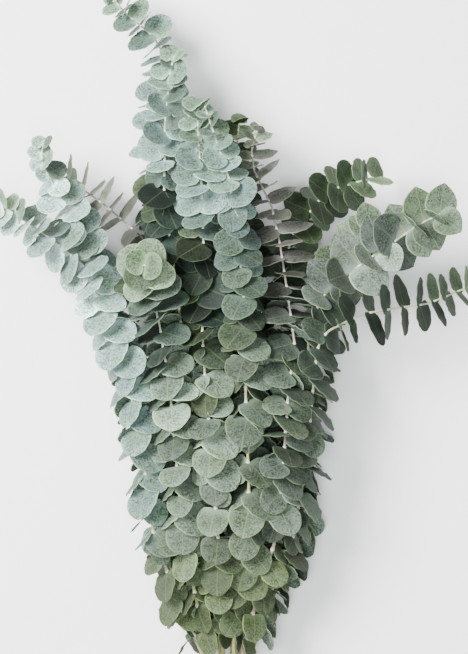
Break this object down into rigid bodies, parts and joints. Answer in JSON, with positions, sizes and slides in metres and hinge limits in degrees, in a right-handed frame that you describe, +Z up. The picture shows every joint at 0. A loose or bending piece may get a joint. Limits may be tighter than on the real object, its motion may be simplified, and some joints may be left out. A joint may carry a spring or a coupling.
{
  "type": "eucalyptus bunch",
  "caption": "Bunch of leafy baby-blue eucalyptus branches bound with twine near the cut ends, lying down, for floral and interior decoration.",
  "frame": {"origin": "on the surface that the bunch lies on, under the middle of its length and width", "axes": "+Y along the bunch towards the leafy tips, with the cut ends towards -Y; +Z up from the surface"},
  "size_m": [0.458, 0.7174, 0.1354],
  "materials": {
    "leafy_stem": "matt, with a pale waxy bloom over blue-green leaves and tan-green stems",
    "twine": "rough twisted jute"
  },
  "bodies": {
    "root": {"branch_left_front": "leafy_stem", "branch_rosette": "leafy_stem", "branch_centre_left": "leafy_stem", "branch_centre": "leafy_stem", "branch_slender_top": "leafy_stem", "branch_right_low": "leafy_stem", "branch_right_broad": "leafy_stem", "branch_tall_right": "leafy_stem", "branch_tall_left": "leafy_stem", "branch_left_tip": "leafy_stem", "branch_right_dark": "leafy_stem", "branch_left_slender": "leafy_stem", "branch_centre_back": "leafy_stem", "branch_under_middle": "leafy_stem", "branch_right_middle": "leafy_stem", "twine_tie": "twine"}
  },
  "joints": []
}
